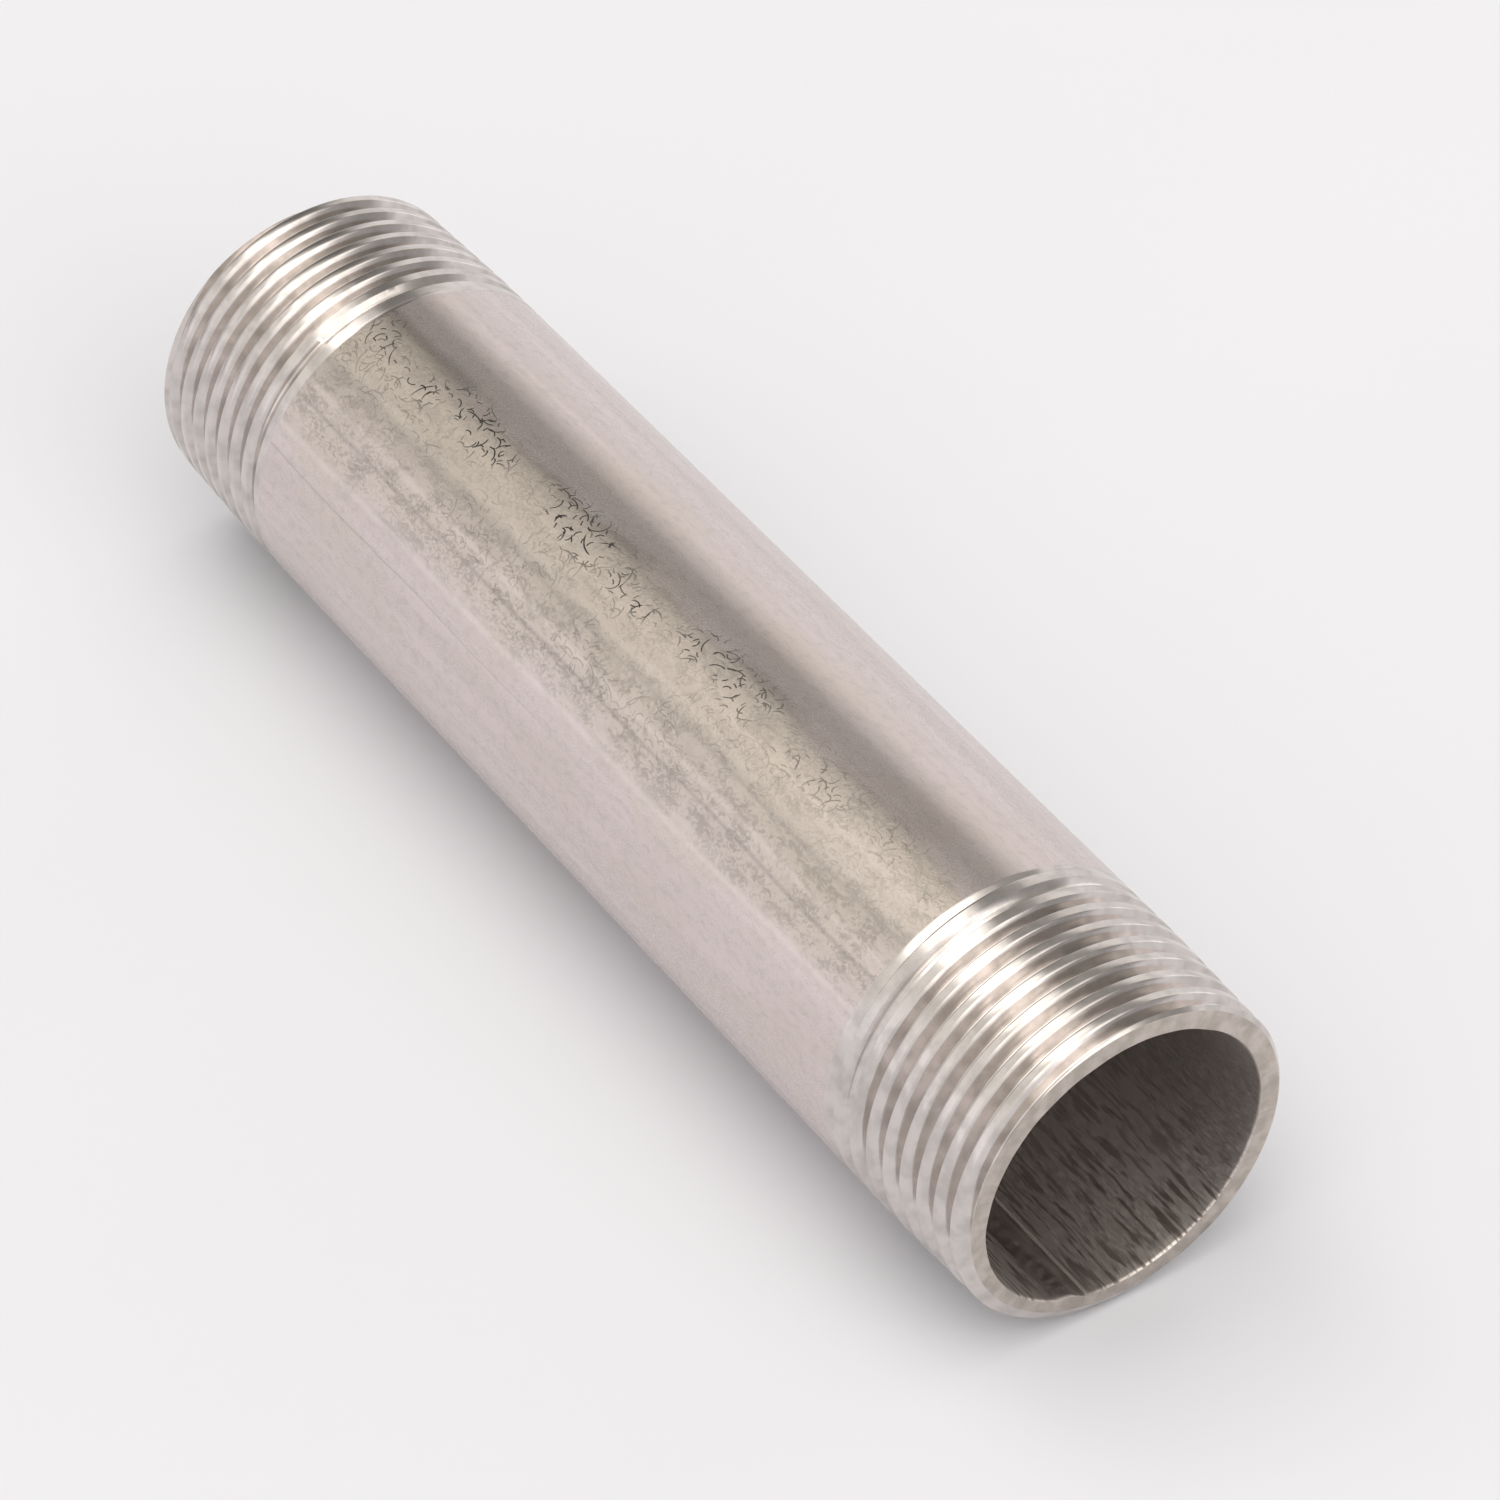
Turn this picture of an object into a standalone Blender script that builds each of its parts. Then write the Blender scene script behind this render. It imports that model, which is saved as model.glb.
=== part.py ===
"""A welded stainless steel pipe nipple with a right-hand taper thread cut on both ends.

The pipe lies along X with its middle at the origin, and +Z is up. Two solids make it: the rolled
wall and the weld that closes it. Both are threaded together, as they are when the thread is cut.
Run it with: blender --background --python part.py
"""

import math

import bmesh
import bpy

MM = 0.001

# The pipe: one-inch nominal bore, light wall
OUTSIDE_RADIUS = 16.70 * MM
WALL = 2.77 * MM
LENGTH = 130.0 * MM
BORE_RADIUS = OUTSIDE_RADIUS - WALL
HALF_LENGTH = LENGTH / 2

# The thread: 11 turns to the inch, 55 degree flanks, 1 in 16 taper on diameter. It is cut a little
# shallow, so its crests stay wider than the standard's.
PITCH = 25.4 * MM / 11
FLANK_ANGLE = math.radians(27.5)
CREST_FLAT = 0.86 * MM
ROOT_FLAT = 0.24 * MM
THREAD_DEPTH = (PITCH - CREST_FLAT - ROOT_FLAT) / 2 / math.tan(FLANK_ANGLE)
TAPER = 1 / 32
GAUGE_RADIUS = 33.249 * MM / 2
GAUGE_DISTANCE = 10.4 * MM
LEAD_SLOPE = math.tan(math.radians(16))

# Each end's thread: how far it reaches from the end face, and where round the pipe its groove starts
NEAR_THREAD_LENGTH = 19.6 * MM
NEAR_START_ANGLE = math.radians(-142)
FAR_THREAD_LENGTH = 18.5 * MM
FAR_START_ANGLE = math.radians(-39)

# The cut end
END_CHAMFER = 0.45 * MM

# The weld, seen along the pipe: a wedge, wider outside, with a low crown inside the bore
SEAM_ANGLE = math.radians(201.6)
SEAM_OUTER_WIDTH = 4.4 * MM
SEAM_INNER_WIDTH = 3.0 * MM
SEAM_CROWN = 0.35 * MM
FIT_GAP = 0.3 * MM

# Fineness: every round is a polygon whose flats touch the true circle, with one flat straight down
STEPS_ROUND = 24
STEP_ANGLE = 2 * math.pi / STEPS_ROUND
CORNER_FACTOR = 1 / math.cos(STEP_ANGLE / 2)
CROWN_STEPS = 6
CUTTER_CLEARANCE = 0.25 * MM
OVERRUN = 2.0 * MM
WELD_DISTANCE = 0.002 * MM


def clear_scene():
    for obj in list(bpy.data.objects):
        bpy.data.objects.remove(obj, do_unlink=True)


def metal(name, colour, roughness):
    """A Principled metal of one colour and roughness."""
    material = bpy.data.materials.new(name)
    material.use_nodes = True
    shader = material.node_tree.nodes["Principled BSDF"]
    shader.inputs["Base Color"].default_value = (*colour, 1.0)
    shader.inputs["Roughness"].default_value = roughness
    shader.inputs["Metallic"].default_value = 1.0
    return material


def crest_radius(distance):
    """Radius of the thread's crests at a distance from the pipe's end face."""
    return GAUGE_RADIUS + (distance - GAUGE_DISTANCE) * TAPER


def groove_floor(distance, thread_length):
    """Radius of the groove's floor: the taper line, then the die's lead, which runs out to the pipe's surface."""
    root = crest_radius(distance) - THREAD_DEPTH
    lead = OUTSIDE_RADIUS + (distance - thread_length) * LEAD_SLOPE
    return max(root, lead)


def half_width(radius, distance):
    """Half the groove's width at a radius, from the flat at its root."""
    root = crest_radius(distance) - THREAD_DEPTH
    return ROOT_FLAT / 2 + (radius - root) * math.tan(FLANK_ANGLE)


def polygon_corner(x, radius, angle):
    """A corner of the polygon round a circle. The angle is counted from straight up (+Z) towards +Y."""
    corner = radius * CORNER_FACTOR
    return (x, corner * math.sin(angle), corner * math.cos(angle))


def new_object(name, bm):
    """Links the bmesh as an object, with its faces pointing outwards."""
    bmesh.ops.recalc_face_normals(bm, faces=bm.faces)
    mesh = bpy.data.meshes.new(name)
    bm.to_mesh(mesh)
    bm.free()
    obj = bpy.data.objects.new(name, mesh)
    bpy.context.scene.collection.objects.link(obj)
    return obj


def closed_loop_edges(bm, points):
    """Adds a closed outline and returns its vertices and edges."""
    verts = [bm.verts.new(point) for point in points]
    edges = [bm.edges.new((a, b)) for a, b in zip(verts, verts[1:] + verts[:1])]
    return verts, edges


def turned_solid(name, outline):
    """Spins a closed outline of (x, radius) points round the pipe's axis."""
    bm = bmesh.new()
    start = [polygon_corner(x, radius, STEP_ANGLE / 2) for x, radius in outline]
    verts, edges = closed_loop_edges(bm, start)
    bmesh.ops.spin(
        bm, geom=verts + edges, cent=(0, 0, 0), axis=(1, 0, 0),
        angle=2 * math.pi, steps=STEPS_ROUND, use_merge=True,
    )
    bmesh.ops.remove_doubles(bm, verts=bm.verts, dist=1e-7)
    return new_object(name, bm)


def outer_outline():
    """(x, radius) points of the turned outside: face edge, chamfer, taper, barrel, taper, chamfer, face edge."""
    crest_at_end = crest_radius(END_CHAMFER)
    barrel_start = GAUGE_DISTANCE + (OUTSIDE_RADIUS - GAUGE_RADIUS) / TAPER
    one_end = [
        (HALF_LENGTH, crest_at_end - END_CHAMFER),
        (HALF_LENGTH - END_CHAMFER, crest_at_end),
        (HALF_LENGTH - barrel_start, OUTSIDE_RADIUS),
    ]
    return one_end + [(-x, radius) for x, radius in reversed(one_end)]


def pipe_blank():
    """The tube before threading: turned outside, straight bore."""
    bore = [(-HALF_LENGTH, BORE_RADIUS), (HALF_LENGTH, BORE_RADIUS)]
    return turned_solid("pipe_wall", outer_outline() + bore)


def outer_envelope():
    """A thick tube with the pipe's turned outside, which trims the weld flush with the wall and its ends."""
    inside = [(-HALF_LENGTH, BORE_RADIUS / 2), (HALF_LENGTH, BORE_RADIUS / 2)]
    return turned_solid("outer_envelope", outer_outline() + inside)


def thread_cutter(name, thread_length, start_angle, turn):
    """A helical groove tool: a trapezoid carried along a tapering right-hand helix at the +X end.

    turn is the angle about Z that swings it to the end it cuts, so both ends stay right-handed.
    """
    bm = bmesh.new()
    first = round(-OVERRUN / PITCH * STEPS_ROUND)
    last = round((thread_length + OVERRUN) / PITCH * STEPS_ROUND)
    sections = []
    for step in range(first, last + 1):
        distance = step * PITCH / STEPS_ROUND
        angle = start_angle + step * STEP_ANGLE
        floor = groove_floor(distance, thread_length)
        top = crest_radius(distance) + CUTTER_CLEARANCE
        low = half_width(floor, distance)
        high = half_width(top, distance)
        corners = [(-low, floor), (low, floor), (high, top), (-high, top)]
        sections.append([
            bm.verts.new(polygon_corner(HALF_LENGTH - distance + along, radius, angle))
            for along, radius in corners
        ])
    for one, two in zip(sections, sections[1:]):
        for i in range(4):
            j = (i + 1) % 4
            bm.faces.new((one[i], one[j], two[j], two[i]))
    bm.faces.new(sections[0])
    bm.faces.new(sections[-1])
    cutter = new_object(name, bm)
    cutter.rotation_euler.z = turn
    return as_helper(cutter)


def seam_solid(name, side_gap, inner_radii):
    """An extruded wedge along the whole pipe at the seam's angle.

    side_gap widens it on both sides, and inner_radii are its inner outline from one side to the other.
    """
    bm = bmesh.new()
    reach = OUTSIDE_RADIUS + OVERRUN
    widening = (SEAM_OUTER_WIDTH - SEAM_INNER_WIDTH) / 2 / WALL
    inner_half = SEAM_INNER_WIDTH / 2 + side_gap
    outer_half = inner_half + widening * (reach - BORE_RADIUS)
    outline = [(outer_half, reach), (-outer_half, reach)]
    last = len(inner_radii) - 1
    for i, radius in enumerate(inner_radii):
        outline.append(((2 * i / last - 1) * inner_half, radius))
    verts = [bm.verts.new((-HALF_LENGTH - OVERRUN, y, z)) for y, z in outline]
    end_face = bm.faces.new(verts)
    pulled = bmesh.ops.extrude_face_region(bm, geom=[end_face])["geom"]
    moved = [item for item in pulled if isinstance(item, bmesh.types.BMVert)]
    bmesh.ops.translate(bm, verts=moved, vec=(LENGTH + 2 * OVERRUN, 0, 0))
    wedge = new_object(name, bm)
    wedge.rotation_euler.x = -SEAM_ANGLE
    return wedge


def crowned_radii():
    """The bead's inner outline: level with the bore at its sides, standing into it at its middle."""
    return [
        BORE_RADIUS - SEAM_CROWN * math.sin(math.pi * i / CROWN_STEPS)
        for i in range(CROWN_STEPS + 1)
    ]


def as_helper(obj):
    obj.hide_render = True
    obj.display_type = "WIRE"
    return obj


def boolean(obj, tool, operation):
    modifier = obj.modifiers.new(tool.name, "BOOLEAN")
    modifier.object = tool
    modifier.operation = operation
    modifier.solver = "EXACT"


def finish(obj, material):
    """Closes up the hair-fine edges that the cuts leave, then gives the piece its metal and smooth shading."""
    weld = obj.modifiers.new("weld", "WELD")
    weld.merge_threshold = WELD_DISTANCE
    obj.data.materials.append(material)
    obj.data.shade_smooth()
    obj.data.set_sharp_from_angle(angle=math.radians(20))


def main():
    clear_scene()
    near_cutter = thread_cutter("near_thread_cutter", NEAR_THREAD_LENGTH, NEAR_START_ANGLE, 0.0)
    far_cutter = thread_cutter("far_thread_cutter", FAR_THREAD_LENGTH, FAR_START_ANGLE, math.pi)
    inside_bore = BORE_RADIUS - OVERRUN
    slot = as_helper(seam_solid("seam_slot", FIT_GAP, [inside_bore, inside_bore]))
    envelope = as_helper(outer_envelope())

    wall = pipe_blank()
    boolean(wall, slot, "DIFFERENCE")
    boolean(wall, near_cutter, "DIFFERENCE")
    boolean(wall, far_cutter, "DIFFERENCE")
    finish(wall, metal("pickled_stainless", (0.56, 0.53, 0.51), 0.38))

    seam = seam_solid("weld_seam", 0.0, crowned_radii())
    boolean(seam, envelope, "INTERSECT")
    boolean(seam, near_cutter, "DIFFERENCE")
    boolean(seam, far_cutter, "DIFFERENCE")
    finish(seam, metal("dressed_weld", (0.52, 0.49, 0.46), 0.42))


main()
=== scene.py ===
"""A stainless steel pipe nipple with a taper thread on both ends, lying on a pale studio floor.

Two pieces make it, as in the CAD: the rolled wall and the weld that closes it. Both take their
outside from one function of the place on the pipe, so each thread runs through the weld as it does
when the die cuts it. Lengths are in metres. The pipe lies along X, and an angle round it is counted
from straight up (+Z) towards +Y.
"""

import functools
import math

import bmesh
import bpy
import numpy as np
from mathutils import Matrix, Vector


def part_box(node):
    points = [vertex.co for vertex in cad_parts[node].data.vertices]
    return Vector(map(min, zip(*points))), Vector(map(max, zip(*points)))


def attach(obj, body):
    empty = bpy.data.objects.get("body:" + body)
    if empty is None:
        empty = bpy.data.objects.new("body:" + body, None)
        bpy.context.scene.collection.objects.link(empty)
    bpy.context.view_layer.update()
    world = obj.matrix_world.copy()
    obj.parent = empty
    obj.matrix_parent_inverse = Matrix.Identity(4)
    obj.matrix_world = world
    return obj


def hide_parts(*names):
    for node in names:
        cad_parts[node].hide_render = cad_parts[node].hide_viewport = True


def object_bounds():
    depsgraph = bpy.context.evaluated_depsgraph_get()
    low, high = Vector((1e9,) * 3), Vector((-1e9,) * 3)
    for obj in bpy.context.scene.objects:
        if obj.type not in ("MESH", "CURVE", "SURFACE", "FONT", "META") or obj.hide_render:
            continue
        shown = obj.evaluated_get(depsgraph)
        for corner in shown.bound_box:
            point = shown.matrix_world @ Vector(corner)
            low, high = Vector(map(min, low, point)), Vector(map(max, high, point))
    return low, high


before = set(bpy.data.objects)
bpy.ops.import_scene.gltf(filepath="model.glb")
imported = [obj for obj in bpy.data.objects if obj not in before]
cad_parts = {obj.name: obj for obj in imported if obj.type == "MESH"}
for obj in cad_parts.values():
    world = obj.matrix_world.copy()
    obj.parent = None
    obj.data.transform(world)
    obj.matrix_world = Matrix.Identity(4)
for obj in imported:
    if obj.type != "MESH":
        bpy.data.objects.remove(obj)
cad_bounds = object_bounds()

# ---------------------------------------------------------------------------------------------
# The wall. A stainless strip is rolled into a tube, welded along its edges, drawn to size and
# pickled. A die then cuts a right-hand taper thread into each end and leaves its own lead behind.
# ---------------------------------------------------------------------------------------------
MM = 0.001
HALF_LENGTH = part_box("pipe_wall")[1][0]
PIPE_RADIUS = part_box("pipe_wall")[1][2]
BORE_RADIUS = PIPE_RADIUS - 2.77 * MM
SEAM_ANGLE = math.radians(201.6)
SEAM_HALF_ANGLE = math.radians(7.4)

PITCH = 25.4 * MM / 11
FLANK = math.radians(27.5)
CREST_FLAT = 0.86 * MM
ROOT_FLAT = 0.24 * MM
THREAD_DEPTH = (PITCH - CREST_FLAT - ROOT_FLAT) / 2 / math.tan(FLANK)
SHOULDER_ROUNDING = 0.22 * MM
ROOT_ROUNDING = 0.15 * MM
TAPER = 1 / 32
GAUGE_RADIUS = 33.249 * MM / 2
GAUGE_DISTANCE = 10.4 * MM
LEAD_SLOPE = math.tan(math.radians(16))
FACE_EDGE_RADIUS = 15.86 * MM
CUT_SOFTNESS = 0.02 * MM
NEAR_THREAD = {"start_angle": math.radians(-142), "length": 19.6 * MM}
FAR_THREAD = {"start_angle": math.radians(-39), "length": 18.5 * MM}
ROLLING_WAVE = 0.010 * MM

ROOT_STEPS, FLANK_STEPS, SHOULDER_STEPS = 2, 2, 4
ROW_SNAP = 0.03 * MM


def soft_min(a, b, softness=CUT_SOFTNESS):
    """The smaller of two surfaces, with the edge between them rounded: their mean less half a
    hyperbola of their difference."""
    return (a + b - np.sqrt((a - b) ** 2 + softness**2)) / 2


def soft_max(a, b, softness=CUT_SOFTNESS):
    return -soft_min(-a, -b, softness)


def round_start(radius):
    """How far before its sharp corner a round of that radius begins, between a flat and a flank."""
    return radius * math.tan((math.pi / 2 - FLANK) / 2)


def corner_rise(past, radius):
    """Rise of a profile that runs flat, turns through a round and goes on along the flank, at a
    distance past the sharp corner: the arc of a circle, then the flank's straight line."""
    into = np.maximum(past + round_start(radius), 0)
    arc = radius - np.sqrt(np.maximum(radius**2 - into**2, 0))
    return np.where(into < radius * math.cos(FLANK), arc, past / math.tan(FLANK))


def thread_height(across):
    """Height over the groove's floor at a distance across from its middle. The lower half of the
    flank rises from the floor, and the upper half falls from the crest."""
    from_root = np.abs(across)
    from_crest = PITCH / 2 - from_root
    rise = corner_rise(from_root - ROOT_FLAT / 2, ROOT_ROUNDING)
    fall = corner_rise(from_crest - CREST_FLAT / 2, SHOULDER_ROUNDING)
    return np.where(rise < THREAD_DEPTH / 2, rise, THREAD_DEPTH - fall)


def groove_distance(angle, thread):
    """How far the groove's middle is from the end face: one pitch further for each turn."""
    return PITCH * (angle - thread["start_angle"]) / (2 * math.pi)


def tube_radius(angle):
    """Radius of the uncut tube. The rolls leave it faintly waved: 41 waves to the turn, and 27 more
    that fade in and out."""
    return PIPE_RADIUS - ROLLING_WAVE * (
        1 + 0.5 * np.sin(41 * angle) + 0.5 * np.sin(27 * angle + 1.3) * np.cos(5 * angle))


def end_radius(distance, angle, thread):
    """Outer radius near one end. The thread's form stands on a 1 in 32 cone, the die's lead keeps
    it from going deeper than a 16 degree cone, the tube's own surface tops it, and a 45 degree
    chamfer cuts its first turn."""
    across = distance - groove_distance(angle, thread)
    across = (across + PITCH / 2) % PITCH - PITCH / 2
    crest = GAUGE_RADIUS + (distance - GAUGE_DISTANCE) * TAPER
    form = crest - THREAD_DEPTH + thread_height(across)
    lead = PIPE_RADIUS + (distance - thread["length"]) * LEAD_SLOPE
    cut = soft_min(tube_radius(angle), soft_max(form, lead))
    return soft_min(cut, FACE_EDGE_RADIUS + distance)


def outer_radius(x, angle):
    """The lower of what the two ends' threads leave. The far end is the near end turned about Z,
    which also turns its angles round."""
    near = end_radius(HALF_LENGTH - x, angle, NEAR_THREAD)
    far = end_radius(HALF_LENGTH + x, -angle, FAR_THREAD)
    return np.minimum(near, far)


def thread_rows(angles, thread):
    """Distances from the end face for rows that follow the groove, one row of the array for each.
    In every pitch they lie at even turns of the root and shoulder rounds, at even steps of the
    flanks and on the middles of the flats. Rows that would pass the end face or the thread's last
    ring are held on it."""
    root_turns = np.sin(np.linspace(0, math.pi / 2 - FLANK, ROOT_STEPS + 1))
    root = ROOT_FLAT / 2 - round_start(ROOT_ROUNDING) + ROOT_ROUNDING * root_turns
    shoulder_turns = np.sin(np.linspace(math.pi / 2 - FLANK, 0, SHOULDER_STEPS + 1))
    shoulder = PITCH / 2 - (
        CREST_FLAT / 2 - round_start(SHOULDER_ROUNDING) + SHOULDER_ROUNDING * shoulder_turns)
    flank = np.linspace(root[-1], shoulder[0], FLANK_STEPS + 1)[1:-1]
    half = np.concatenate([[0], root, flank, shoulder, [PITCH / 2]])
    across = np.concatenate([half, PITCH - half[-2:0:-1]])
    groove = groove_distance(angles, thread)
    first = -math.ceil(groove.max() / PITCH) - 1
    last = math.ceil((thread["length"] - groove.min()) / PITCH)
    steps = (np.arange(first, last + 1)[:, None] * PITCH + across).ravel()
    rows = steps[:, None] + groove
    rows = np.where(rows < ROW_SNAP, 0, rows)
    return np.where(rows > thread["length"] - ROW_SNAP, thread["length"], rows)


def ring_piece(name, angles, barrel_step, bore_step, inner_radius):
    """A closed length of pipe over a range of angles. Each row of its grid is a loop: the outside
    from the first angle to the last, then the inside back. Rows follow the groove in the threads
    and are rings between them, and the two end faces close it. Inside, rows fall on the nearest of
    the bore's own stations, so points that coincide are merged at the end."""
    near = HALF_LENGTH - thread_rows(angles, NEAR_THREAD)
    far = thread_rows(-angles, FAR_THREAD)[::-1] - HALF_LENGTH
    barrel_from, barrel_to = near[-1, 0], far[0, 0]
    past_thread = np.array([0.04, 0.1, 0.25, 0.6]) * MM
    count = round((barrel_from - barrel_to) / barrel_step)
    middle = np.linspace(barrel_from - 2 * past_thread[-1], barrel_to + 2 * past_thread[-1], count)
    barrel = np.concatenate([barrel_from - past_thread, middle, barrel_to + past_thread[::-1]])
    x_outside = np.concatenate([near, np.repeat(barrel[:, None], len(angles), axis=1), far])

    inside_mouth = np.array([0, 0.07, 0.16, 0.3]) * MM
    inner_count = round(2 * HALF_LENGTH / bore_step)
    plain = np.linspace(HALF_LENGTH - bore_step / 2, bore_step / 2 - HALF_LENGTH, inner_count)
    stations = np.concatenate(
        [HALF_LENGTH - inside_mouth, plain, inside_mouth[::-1] - HALF_LENGTH])
    nearest = np.abs(x_outside.mean(axis=1)[:, None] - stations).argmin(axis=1)
    x_inside = np.repeat(stations[nearest][:, None], len(angles), axis=1)
    x_inside[0], x_inside[-1] = HALF_LENGTH, -HALF_LENGTH

    x = np.concatenate([x_outside, x_inside[:, ::-1]], axis=1)
    angle = np.concatenate([angles, angles[::-1]])
    radius = np.concatenate(
        [outer_radius(x_outside, angles), inner_radius(x_inside, angles)[:, ::-1]], axis=1)
    points = np.stack([x, radius * np.sin(angle), radius * np.cos(angle)], axis=-1)

    rows, loop = x.shape
    index = np.arange(rows * loop).reshape(rows, loop)
    onward = np.roll(index, -1, axis=1)
    skin = np.stack([index[:-1], onward[:-1], onward[1:], index[1:]], axis=-1).reshape(-1, 4)
    half = len(angles)
    caps = [
        np.stack([row[:half - 1], row[1:half], row[::-1][1:half], row[::-1][:half - 1]], axis=-1)
        for row in (index[0], index[-1])
    ]
    mesh = bpy.data.meshes.new(name)
    mesh.from_pydata(points.reshape(-1, 3), [], np.concatenate([skin, *caps]))
    bm = bmesh.new()
    bm.from_mesh(mesh)
    bmesh.ops.remove_doubles(bm, verts=bm.verts, dist=1e-7)
    bmesh.ops.recalc_face_normals(bm, faces=bm.faces)
    bm.to_mesh(mesh)
    bm.free()
    mesh.shade_smooth()
    mesh.set_sharp_from_angle(angle=math.radians(40))
    write_wrapped_places(mesh)
    piece = bpy.data.objects.new(name, mesh)
    bpy.context.scene.collection.objects.link(piece)
    return piece


def write_wrapped_places(mesh):
    """Stores each point's place on the unrolled pipe, in millimetres, for the finishes: the arc
    from the top of the pipe, the length along it, and the radius. The arc's jump is beside the
    weld."""
    points = np.empty(len(mesh.vertices) * 3)
    mesh.vertices.foreach_get("co", points)
    x, y, z = points.reshape(-1, 3).T
    turned = (np.arctan2(y, z) - SEAM_ANGLE + math.pi) % (2 * math.pi) - math.pi
    turned = np.where(turned < -SEAM_HALF_ANGLE * 1.02, turned + 2 * math.pi, turned)
    arc = (turned + SEAM_ANGLE - 2 * math.pi) * PIPE_RADIUS
    wrapped = np.stack([arc, x, np.hypot(y, z)], axis=-1) / MM
    layer = mesh.attributes.new("wrapped", "FLOAT_VECTOR", "POINT")
    layer.data.foreach_set("vector", wrapped.astype(np.float32).ravel())


def broken_edge(x, angle):
    """Radius of the bore. Its two mouths are deburred by hand, so each edge is broken by a tenth of
    a millimetre or so, unevenly, over the first third of a millimetre."""
    depth = HALF_LENGTH - np.abs(x)
    uneven = 0.5 + 0.25 * np.sin(7 * angle + 0.6) + 0.25 * np.sin(19 * angle) * np.sin(3 * angle)
    slope = np.clip(1 - depth / (0.3 * MM), 0, 1) ** 2
    return BORE_RADIUS + (0.05 + 0.12 * uneven) * MM * slope


def add_node(tree, kind, inputs, **settings):
    """One shader node. Each of its inputs is a number, a colour or another node's output."""
    made = tree.nodes.new(kind)
    for name, value in settings.items():
        setattr(made, name, value)
    for socket, value in inputs.items():
        if isinstance(value, bpy.types.NodeSocket):
            tree.links.new(value, made.inputs[socket])
        else:
            made.inputs[socket].default_value = value
    return made


def number_node(tree, operation, *values):
    """One step of arithmetic on numbers, such as ADD or ABSOLUTE."""
    return add_node(tree, "ShaderNodeMath", dict(enumerate(values)), operation=operation).outputs[0]


def vector_node(tree, operation, *values):
    """One step of arithmetic on vectors. A dot product and a length come out as numbers."""
    made = add_node(tree, "ShaderNodeVectorMath", dict(enumerate(values)), operation=operation)
    return made.outputs["Value" if operation in ("DOT_PRODUCT", "LENGTH") else "Vector"]


def wrapped_place(tree):
    return add_node(tree, "ShaderNodeAttribute", {}, attribute_name="wrapped").outputs["Vector"]


def noise_on_pipe(tree, scale, detail=3.0, distortion=0.0, shift=0.0):
    """Noise on the unrolled pipe, from 0 to 1. The scale is in cycles for each millimetre of arc,
    of length and of radius, so unequal scales draw it out into streaks."""
    moved = add_node(tree, "ShaderNodeMapping", {
        "Vector": wrapped_place(tree), "Scale": scale, "Location": (shift, shift, shift)})
    noise = add_node(tree, "ShaderNodeTexNoise", {
        "Vector": moved.outputs["Vector"], "Scale": 1.0,
        "Detail": detail, "Distortion": distortion})
    return noise.outputs["Fac"]


def ramp(tree, value, start, end, low=0.0, high=1.0):
    """Carries a value smoothly from low to high as it goes from start to end."""
    made = add_node(tree, "ShaderNodeMapRange", {
        "Value": value, "From Min": start, "From Max": end, "To Min": low, "To Max": high},
        interpolation_type="SMOOTHSTEP")
    return made.outputs["Result"]


def product(tree, *values):
    return functools.reduce(lambda one, two: number_node(tree, "MULTIPLY", one, two), values)


def total(tree, *values):
    return functools.reduce(lambda one, two: number_node(tree, "ADD", one, two), values)


def blend_colours(tree, factor, one, two):
    made = add_node(tree, "ShaderNodeMix", {"Factor": factor, "A": one, "B": two}, data_type="RGBA")
    return made.outputs["Result"]


def new_metal(name):
    material = bpy.data.materials.new(name)
    material.use_nodes = True
    shader = material.node_tree.nodes["Principled BSDF"]
    shader.inputs["Metallic"].default_value = 1.0
    return material, material.node_tree, shader


def dress(tree, shader, colour, roughness, relief, depth):
    """Gives a metal its colour, its roughness, and a relief of the given depth in millimetres."""
    bump = add_node(tree, "ShaderNodeBump", {
        "Height": relief, "Distance": depth * MM, "Strength": 1.0})
    tree.links.new(colour, shader.inputs["Base Color"])
    tree.links.new(roughness, shader.inputs["Roughness"])
    tree.links.new(bump.outputs["Normal"], shader.inputs["Normal"])


def strokes(tree, spacing, size, bow, shift):
    """Thin bowed strokes, one in each cell of a grid warped by chance, turned every way, and about
    a third of them faint. A stroke lies where the distance to a circle of radius bow is small, and
    it fades out at a distance size from its middle. All lengths are in millimetres."""
    half_width = 0.062
    flat = vector_node(tree, "MULTIPLY", wrapped_place(tree), (1, 1, 0))
    moved = vector_node(tree, "ADD", flat, (shift, shift * 1.7, 0))
    cell = add_node(tree, "ShaderNodeTexVoronoi", {
        "Vector": moved, "Scale": 1 / spacing, "Randomness": 1.0}, voronoi_dimensions="2D")
    chance = add_node(tree, "ShaderNodeSeparateColor", {"Color": cell.outputs["Color"]}).outputs
    from_middle = vector_node(tree, "SUBTRACT", moved, cell.outputs["Position"])
    turned = add_node(tree, "ShaderNodeVectorRotate", {
        "Vector": from_middle, "Angle": ramp(tree, chance["Red"], 0, 1, 0, 2 * math.pi)},
        rotation_type="Z_AXIS").outputs["Vector"]
    from_centre = vector_node(tree, "LENGTH", vector_node(tree, "ADD", turned, (bow, 0, 0)))
    off = number_node(tree, "ABSOLUTE", number_node(tree, "SUBTRACT", from_centre, bow))
    along = vector_node(tree, "LENGTH", turned)
    return product(
        tree, ramp(tree, off, half_width * 1.6, half_width * 0.5),
        ramp(tree, along, size, size * 0.6), ramp(tree, chance["Green"], 0.25, 0.4, 0.15, 1.0))


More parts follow.
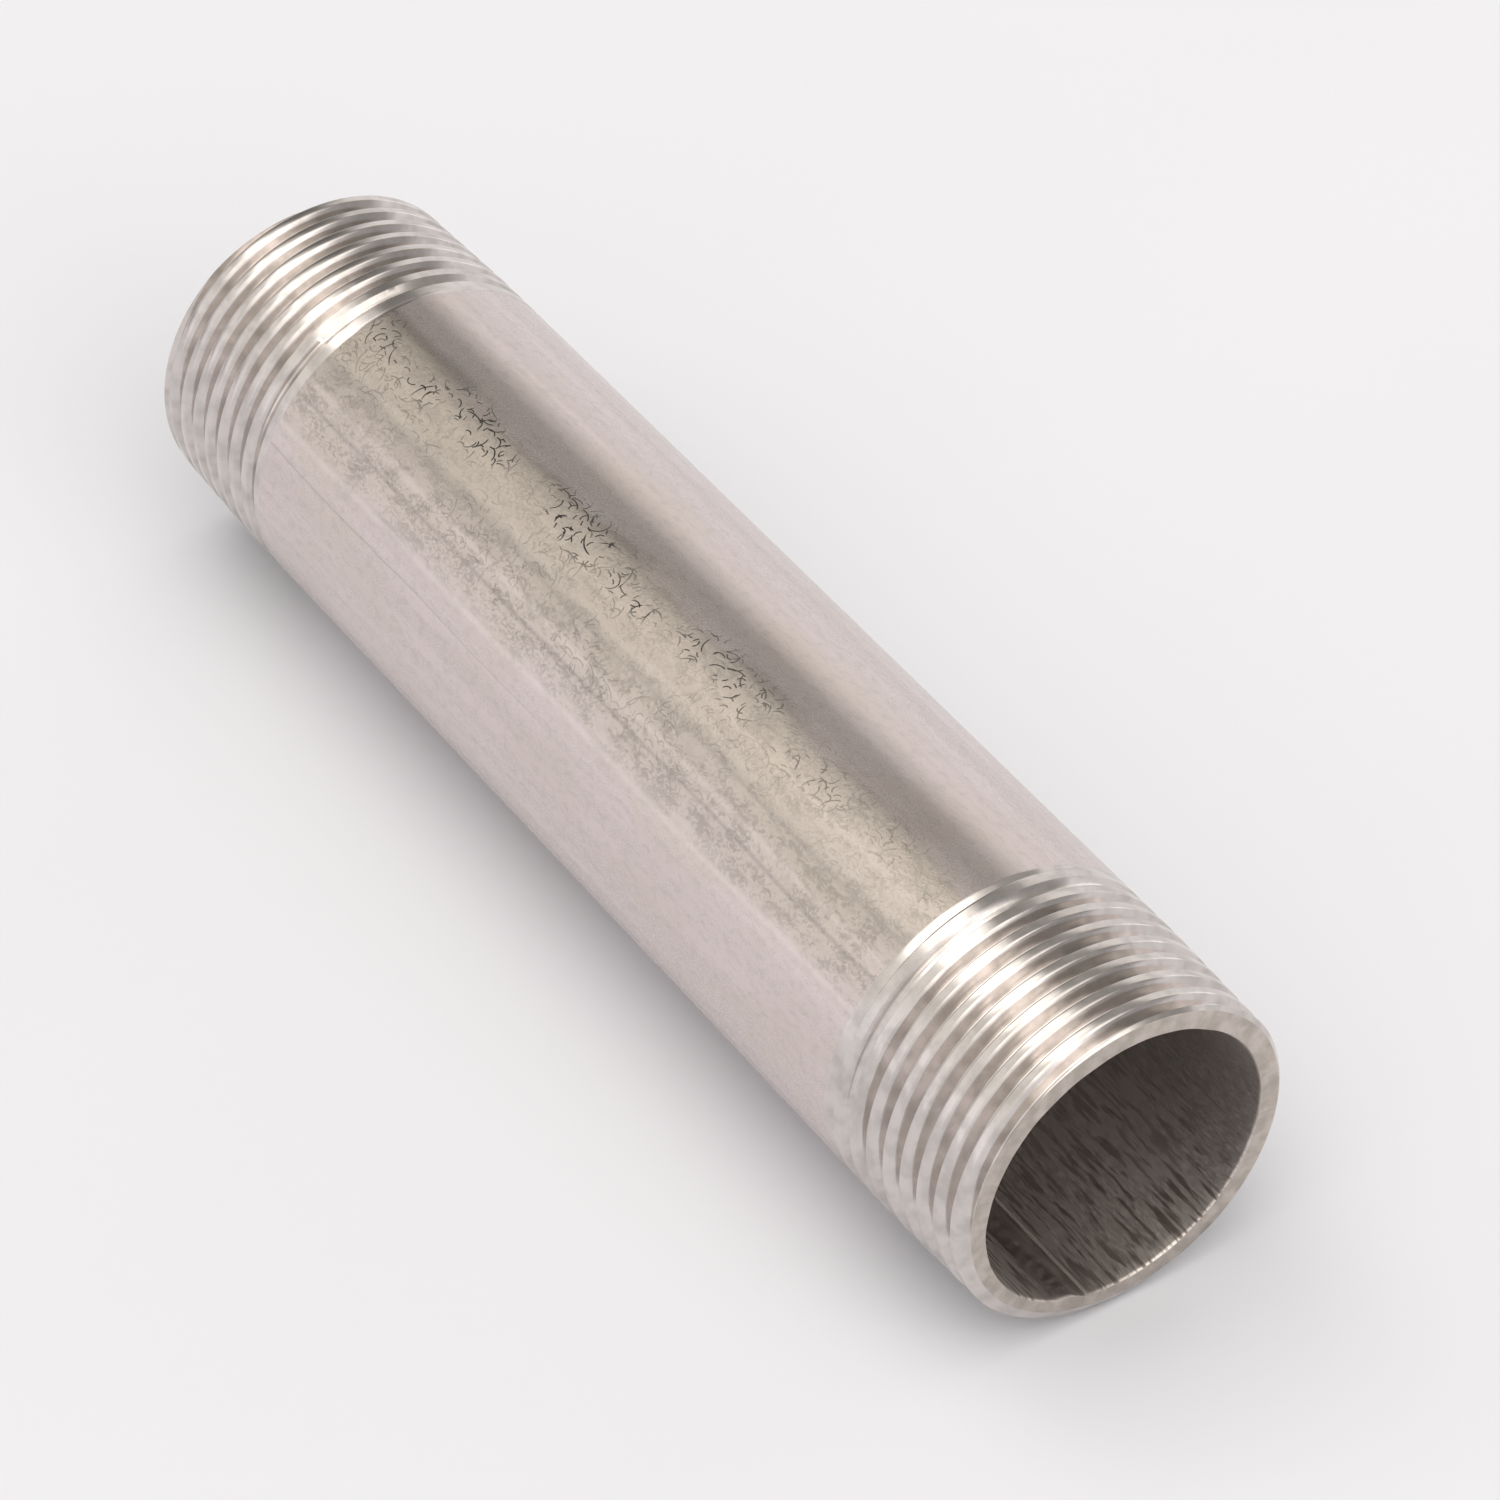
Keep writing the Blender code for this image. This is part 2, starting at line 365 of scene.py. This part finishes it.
def hair_scuffs(tree, arc, length):
    """Short dark curved hairs in five sizes, thick in a strip left of the top and sparse beside it,
    gathered in patches."""
    patches = noise_on_pipe(tree, (0.22, 0.13, 0.0), detail=2.0, shift=33.0)
    strip = product(tree, ramp(tree, arc, -6.6, -4.4), ramp(tree, arc, 0.0, -2.4))
    beside = product(tree, ramp(tree, arc, -17, -12), ramp(tree, arc, -3, -6), 0.30)
    where = product(
        tree, total(tree, strip, beside), ramp(tree, length, 40, 0, 0.30, 1.0),
        ramp(tree, patches, 0.40, 0.58, 0.16, 1.0))
    layers = (
        # spacing, size, bow, shift
        (2.0, 1.0, 1.3, 0.0),
        (2.8, 1.5, 2.4, 17.0),
        (1.4, 0.55, 0.5, 41.0),
        (1.9, 0.8, 0.8, 77.0),
        (1.1, 0.35, 0.9, 95.0),
    )
    hairs = total(tree, *[strokes(tree, *layer) for layer in layers])
    return product(tree, ramp(tree, hairs, 0.0, 1.0), where)


def draw_lines(tree, arc, places, width):
    """Fine lines along the tube that the drawing die left, 1 on them and 0 off them. Places and
    width are in millimetres of arc."""
    lines = []
    for place in places:
        off = number_node(tree, "ABSOLUTE", number_node(tree, "SUBTRACT", arc, place))
        lines.append(ramp(tree, off, width, 0.0))
    return total(tree, *lines)


def pickled_steel():
    """The tube's own skin: acid-dulled, streaked along its length by the drawing, with a strip left
    of the top that the acid etched rougher, and dark hairs where it rubbed against others."""
    material, tree, shader = new_metal("pickled_steel")
    parts = add_node(tree, "ShaderNodeSeparateXYZ", {"Vector": wrapped_place(tree)}).outputs
    arc, length = parts["X"], parts["Y"]
    streaks = noise_on_pipe(tree, (0.55, 0.010, 0.0), detail=4.0)
    clouds = noise_on_pipe(tree, (0.16, 0.07, 0.0), detail=3.0, shift=7.0)
    crystals = noise_on_pipe(tree, (1.6, 0.8, 0.0), detail=4.0, distortion=0.5, shift=13.0)
    grain = noise_on_pipe(tree, (6.0, 3.5, 0.0), detail=3.0)
    worms = noise_on_pipe(tree, (1.5, 1.0, 0.0), detail=2.0, distortion=2.2, shift=21.0)
    blotches = noise_on_pipe(tree, (0.75, 0.30, 0.0), detail=4.0, distortion=0.6, shift=37.0)
    waver = noise_on_pipe(tree, (0.25, 0.10, 0.0), detail=5.0, shift=29.0)
    ragged = total(tree, arc, ramp(tree, waver, 0.3, 0.7, -0.55, 0.55))
    etched_strip = product(
        tree, ramp(tree, ragged, -18.0, -14.0, 0.0, 0.75), ramp(tree, ragged, -2.0, -3.2))
    dulled_strip = product(tree, ramp(tree, ragged, -13.0, -7.5), ramp(tree, ragged, -0.6, -3.0))
    drifting = total(tree, arc, ramp(tree, clouds, 0.3, 0.7, -0.12, 0.12))
    light_lines = draw_lines(tree, drifting, (-16.3, -11.7), 0.55)
    faint_line = draw_lines(tree, drifting, (-8.2,), 0.9)
    far_line = product(
        tree, draw_lines(tree, drifting, (-18.8,), 0.16), ramp(tree, length, 30, -45, 0.0, 1.0))
    dark_lines = total(tree, draw_lines(tree, drifting, (-13.1, -9.3), 0.35), far_line)
    scuffs = hair_scuffs(tree, arc, length)

    clean = blend_colours(
        tree, ramp(tree, streaks, 0.35, 0.65), (0.69, 0.605, 0.595, 1), (0.63, 0.55, 0.54, 1))
    mottled = blend_colours(tree, ramp(tree, clouds, 0.35, 0.75), clean, (0.64, 0.56, 0.52, 1))
    etched = blend_colours(
        tree, ramp(tree, crystals, 0.45, 0.75, 0.0, 0.35), mottled, (0.45, 0.41, 0.385, 1))
    dull = product(tree, dulled_strip, ramp(tree, length, 60, -40, 0.72, 1.0))
    dulled = blend_colours(tree, dull, etched, (0.31, 0.27, 0.245, 1))
    tanned = blend_colours(tree, product(tree, etched_strip, 0.34), dulled, (0.53, 0.47, 0.39, 1))
    pits = ramp(tree, total(tree, worms, blotches), 0.90, 1.22)
    pitted = blend_colours(
        tree, product(tree, etched_strip, pits, 0.60), tanned, (0.24, 0.215, 0.195, 1))
    light = total(tree, product(tree, light_lines, 0.3), product(tree, faint_line, 0.12))
    lit = blend_colours(tree, light, pitted, (0.80, 0.72, 0.69, 1))
    lined = blend_colours(tree, product(tree, dark_lines, 0.45), lit, (0.34, 0.31, 0.295, 1))
    colour = blend_colours(tree, product(tree, scuffs, 0.95), lined, (0.05, 0.047, 0.044, 1))
    roughness = total(
        tree, ramp(tree, streaks, 0.25, 0.75, 0.23, 0.29), product(tree, etched_strip, 0.16),
        ramp(tree, grain, 0.3, 0.7, -0.02, 0.03), product(tree, scuffs, 0.2))
    relief = total(
        tree, product(tree, streaks, 0.45), product(tree, crystals, 0.4), product(tree, grain, 0.25),
        product(tree, etched_strip, worms, 1.6), product(tree, scuffs, -0.3))
    dress(tree, shader, colour, roughness, relief, 0.012)
    return material


def cut_steel():
    """The thread: bright bare metal with fine turned lines that run round the pipe."""
    material, tree, shader = new_metal("cut_steel")
    lines = noise_on_pipe(tree, (0.03, 9.0, 9.0), detail=3.0)
    wear = noise_on_pipe(tree, (0.5, 0.5, 0.5), detail=3.0, shift=11.0)
    colour = blend_colours(
        tree, ramp(tree, wear, 0.35, 0.7), (0.66, 0.61, 0.585, 1), (0.52, 0.48, 0.455, 1))
    roughness = total(tree, ramp(tree, wear, 0.3, 0.7, 0.11, 0.17), product(tree, lines, 0.04))
    dress(tree, shader, colour, roughness, lines, 0.004)
    return material


def faced_steel():
    """The end faces: cut to length and brushed over, dull, with faint rings."""
    material, tree, shader = new_metal("faced_steel")
    rings = noise_on_pipe(tree, (0.05, 0.0, 6.0), detail=3.0)
    blots = noise_on_pipe(tree, (0.7, 0.7, 0.7), detail=3.0, shift=4.0)
    colour = blend_colours(
        tree, ramp(tree, blots, 0.3, 0.7), (0.60, 0.54, 0.49, 1), (0.44, 0.395, 0.35, 1))
    roughness = ramp(tree, rings, 0.3, 0.7, 0.36, 0.46)
    dress(tree, shader, colour, roughness, total(tree, rings, blots), 0.008)
    return material


def bore_steel():
    """The bore: never dressed, grey with dark brown scale in short thin streaks along it, thicker
    towards the bottom of the pipe and towards its mouths."""
    material, tree, shader = new_metal("bore_steel")
    place = add_node(tree, "ShaderNodeTexCoord", {}).outputs["Object"]
    parts = add_node(tree, "ShaderNodeSeparateXYZ", {"Vector": place}).outputs
    from_middle = number_node(tree, "ABSOLUTE", parts["X"])
    streaks = noise_on_pipe(tree, (1.7, 0.20, 0.0), detail=4.0, distortion=0.2)
    broad = noise_on_pipe(tree, (0.12, 0.05, 0.0), detail=2.0, shift=17.0)
    pits = noise_on_pipe(tree, (3.0, 1.0, 0.0), detail=3.0, shift=5.0)
    lower = ramp(tree, parts["Z"], 0.0, -11 * MM, 0.14, 1.0)
    mouth = ramp(tree, from_middle, 38 * MM, 60 * MM, 0.35, 1.0)
    scale = product(
        tree, ramp(tree, streaks, 0.46, 0.61), ramp(tree, broad, 0.30, 0.55, 0.45, 1.0),
        lower, mouth)
    # The bore's grey holds painted light: it is painted lighter towards the bottom of the pipe,
    # where light falls in through the mouths.
    plain = blend_colours(
        tree, ramp(tree, parts["Z"], -4 * MM, -13 * MM),
        (0.62, 0.575, 0.55, 1), (0.72, 0.655, 0.615, 1))
    colour = blend_colours(tree, scale, plain, (0.20, 0.165, 0.145, 1))
    roughness = total(tree, ramp(tree, pits, 0.3, 0.7, 0.42, 0.52), product(tree, scale, 0.12))
    dress(tree, shader, colour, roughness, total(tree, streaks, product(tree, pits, 0.4)), 0.03)
    return material


def assign_by_region(mesh, materials):
    """Gives each face the finish of where it lies: 0 the barrel, 1 the threads, 2 the end faces and
    3 the bore, which is what faces the axis."""
    centres = np.empty(len(mesh.polygons) * 3)
    normals = np.empty(len(mesh.polygons) * 3)
    mesh.polygons.foreach_get("center", centres)
    mesh.polygons.foreach_get("normal", normals)
    x, y, z = centres.reshape(-1, 3).T
    nx, ny, nz = normals.reshape(-1, 3).T
    radius = np.hypot(y, z)
    in_thread = (x > HALF_LENGTH - NEAR_THREAD["length"]) | (x < FAR_THREAD["length"] - HALF_LENGTH)
    on_face = np.abs(x) > HALF_LENGTH - 0.001 * MM
    inward = (ny * y + nz * z) < -0.3 * radius
    in_bore = inward & (radius < BORE_RADIUS + 0.3 * MM)
    region = np.where(in_bore, 3, np.where(on_face, 2, np.where(in_thread, 1, 0)))
    for material in materials:
        mesh.materials.append(material)
    mesh.polygons.foreach_set("material_index", region.astype(np.int32))
    mesh.update()


wall_angles = np.linspace(
    SEAM_ANGLE + SEAM_HALF_ANGLE, SEAM_ANGLE - SEAM_HALF_ANGLE + 2 * math.pi, 217)
wall_angles -= 2 * math.pi
wall = ring_piece("wall", wall_angles, 2.2 * MM, 2.5 * MM, broken_edge)
finishes = [pickled_steel(), cut_steel(), faced_steel(), bore_steel()]
assign_by_region(wall.data, finishes)
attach(wall, "root")
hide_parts("pipe_wall")

# ---------------------------------------------------------------------------------------------
# The weld. The strip's edges are melted together along the whole tube. Outside it is rolled and
# dressed flush; inside it stands proud as a low rippled bead.
# ---------------------------------------------------------------------------------------------
BEAD_HEIGHT = 0.33 * MM
RIPPLE_PITCH = 1.3 * MM
RIPPLE_DEPTH = 0.035 * MM


def rippled_bead(x, angle):
    """Radius of the bead's top: the bore less a raised cosine across the bead, less ripples along
    it that bow back at its sides, as each melted pool froze."""
    across = (angle - SEAM_ANGLE) / SEAM_HALF_ANGLE
    crown = np.cos(across * math.pi / 2) ** 2
    ripple = np.cos(2 * math.pi * (x - 0.6 * MM * across**2) / RIPPLE_PITCH)
    return broken_edge(x, angle) - crown * (BEAD_HEIGHT + RIPPLE_DEPTH * ripple)


def bead_steel():
    """The bead inside the bore: cast metal, a little lighter than the scale on both sides of it."""
    material, tree, shader = new_metal("bead_steel")
    tint = noise_on_pipe(tree, (0.8, 0.25, 0.0), detail=3.0, shift=9.0)
    skin = noise_on_pipe(tree, (4.0, 2.0, 0.0), detail=3.0)
    colour = blend_colours(
        tree, ramp(tree, tint, 0.35, 0.65), (0.66, 0.60, 0.565, 1), (0.46, 0.415, 0.385, 1))
    dress(tree, shader, colour, ramp(tree, skin, 0.3, 0.7, 0.34, 0.46), skin, 0.02)
    return material


def dressed_weld():
    """The weld outside, scarfed flush with the tube: a line of short tool marks along it."""
    material, tree, shader = new_metal("dressed_weld")
    marks = noise_on_pipe(tree, (2.5, 0.30, 0.0), detail=3.0)
    colour = blend_colours(
        tree, ramp(tree, marks, 0.3, 0.7), (0.64, 0.60, 0.57, 1), (0.54, 0.50, 0.465, 1))
    dress(tree, shader, colour, ramp(tree, marks, 0.3, 0.7, 0.24, 0.36), marks, 0.012)
    return material


weld_angles = np.linspace(SEAM_ANGLE - SEAM_HALF_ANGLE, SEAM_ANGLE + SEAM_HALF_ANGLE, 15)
weld = ring_piece("weld", weld_angles, 0.3 * MM, 0.26 * MM, rippled_bead)
assign_by_region(weld.data, [dressed_weld(), *finishes[1:3], bead_steel()])
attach(weld, "root")
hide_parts("weld_seam")

# ---------------------------------------------------------------------------------------------
# The floor: one large sheet of pale matt board that the pipe lies on.
# ---------------------------------------------------------------------------------------------
FLOOR_HALF_WIDTH = 6.0


def board():
    material = bpy.data.materials.new("board")
    material.use_nodes = True
    tree = material.node_tree
    shader = tree.nodes["Principled BSDF"]
    place = add_node(tree, "ShaderNodeTexCoord", {}).outputs["Object"]
    tooth = add_node(tree, "ShaderNodeTexNoise", {"Vector": place, "Scale": 9.0, "Detail": 2.0})
    colour = blend_colours(
        tree, ramp(tree, tooth.outputs["Fac"], 0.3, 0.7),
        (0.702, 0.703, 0.742, 1), (0.690, 0.691, 0.729, 1))
    tree.links.new(colour, shader.inputs["Base Color"])
    shader.inputs["Roughness"].default_value = 0.9
    shader.inputs["Specular IOR Level"].default_value = 0.1
    return material


floor_mesh = bpy.data.meshes.new("floor")
corners = np.array([[-1, -1, 0], [1, -1, 0], [1, 1, 0], [-1, 1, 0]]) * FLOOR_HALF_WIDTH
corners[:, 2] = cad_bounds[0][2]
floor_mesh.from_pydata(corners, [], [(0, 1, 2, 3)])
floor_mesh.materials.append(board())
floor = bpy.data.objects.new("floor", floor_mesh)
bpy.context.scene.collection.objects.link(floor)

# ---------------------------------------------------------------------------------------------
# The studio. Soft lamps overhead and over each end, a small one low beyond the near end, and a weak
# window low on each side. For the metal to reflect, a dark arch of room stands over the pipe's +Y
# side, and the room is dimmer beyond the far end.
# ---------------------------------------------------------------------------------------------
ROOM_LEVEL = 1.0
BACKDROP_LEVEL = 0.90
LOW_TINT = (1.0, 0.985, 0.995, 1)
HIGH_TINT = (1.0, 0.98, 0.93, 1)
SOFT_LIGHTS = (
    # towards, full within (degrees), gone past (degrees), added level
    ((0.10, -0.20, 0.97), 18, 34, 1.3),
    ((-0.61, -0.08, 0.79), 12, 19, 1.4),
    ((0.82, 0.07, 0.57), 10, 32, 1.2),
    ((0.965, 0.20, 0.15), 3, 9, 1.6),
    ((-0.45, -0.85, 0.20), 8, 20, 0.15),
    ((-0.03, 0.98, 0.14), 6, 20, 0.5),
)
# normal of the arch's plane, or towards; darkest within, gone past; the darkest level
ARCH = ((0.3446, -0.6865, 0.6411), 8, 21, 0.42)
GLOOM = ((-0.90, 0.20, 0.38), 12, 30, 0.45)


def towards(tree, view, direction, inner, outer):
    """1 within the inner angle of a direction, 0 past the outer one, in degrees."""
    cosine = vector_node(tree, "DOT_PRODUCT", view, Vector(direction).normalized())
    return ramp(tree, cosine, math.cos(math.radians(outer)), math.cos(math.radians(inner)))


def off_plane(tree, view, normal, inner, outer):
    """0 within the inner angle of the plane with that normal, 1 past the outer one, in degrees."""
    sine = number_node(tree, "ABSOLUTE", vector_node(tree, "DOT_PRODUCT", view, normal))
    return ramp(tree, sine, math.sin(math.radians(inner)), math.sin(math.radians(outer)))


world = bpy.data.worlds.new("studio")
bpy.context.scene.world = world
world.use_nodes = True
tree = world.node_tree
view = add_node(tree, "ShaderNodeTexCoord", {}).outputs["Generated"]
lights = [
    product(tree, towards(tree, view, direction, inner, outer), level)
    for direction, inner, outer, level in SOFT_LIGHTS
]
*arch_shape, arch_level = ARCH
arch = ramp(tree, off_plane(tree, view, *arch_shape), 0, 1, arch_level, 1.0)
*gloom_shape, gloom_level = GLOOM
gloom = ramp(tree, towards(tree, view, *gloom_shape), 0, 1, 1.0, gloom_level)
level = product(tree, total(tree, ROOM_LEVEL, *lights), arch, gloom)
height = add_node(tree, "ShaderNodeSeparateXYZ", {"Vector": view}).outputs["Z"]
tint = blend_colours(tree, ramp(tree, height, 0.1, 0.6), LOW_TINT, HIGH_TINT)
seen = add_node(tree, "ShaderNodeLightPath", {}).outputs["Is Camera Ray"]
shown = add_node(tree, "ShaderNodeMix", {"Factor": seen, "A": level, "B": BACKDROP_LEVEL})
background = tree.nodes["Background"]
tree.links.new(tint, background.inputs["Color"])
tree.links.new(shown.outputs["Result"], background.inputs["Strength"])

# ---------------------------------------------------------------------------------------------
# The camera: a long lens, so the pipe hardly narrows, looking down along it from its near end.
# ---------------------------------------------------------------------------------------------
AZIMUTH = math.radians(56.15)
ELEVATION = math.radians(42.6)
LENS = 156.547
SENSOR_WIDTH = 36.0
# in radii of the pipe: how far right of its middle and above it the camera aims, and how far off
AIM_RIGHT, AIM_UP, DISTANCE = 0.318, -0.1335, 34.546

back = Vector((
    math.sin(AZIMUTH) * math.cos(ELEVATION),
    -math.cos(AZIMUTH) * math.cos(ELEVATION),
    math.sin(ELEVATION)))
right = Vector((math.cos(AZIMUTH), math.sin(AZIMUTH), 0.0))
up = back.cross(right)
camera_data = bpy.data.cameras.new("camera")
camera_data.lens = LENS
camera_data.sensor_width = SENSOR_WIDTH
camera = bpy.data.objects.new("camera", camera_data)
bpy.context.scene.collection.objects.link(camera)
turn = Matrix((right, up, back)).transposed().to_4x4()
place = PIPE_RADIUS * (AIM_RIGHT * right + AIM_UP * up + DISTANCE * back)
camera.matrix_world = Matrix.Translation(place) @ turn
bpy.context.scene.camera = camera
bpy.context.scene.view_settings.view_transform = "Standard"
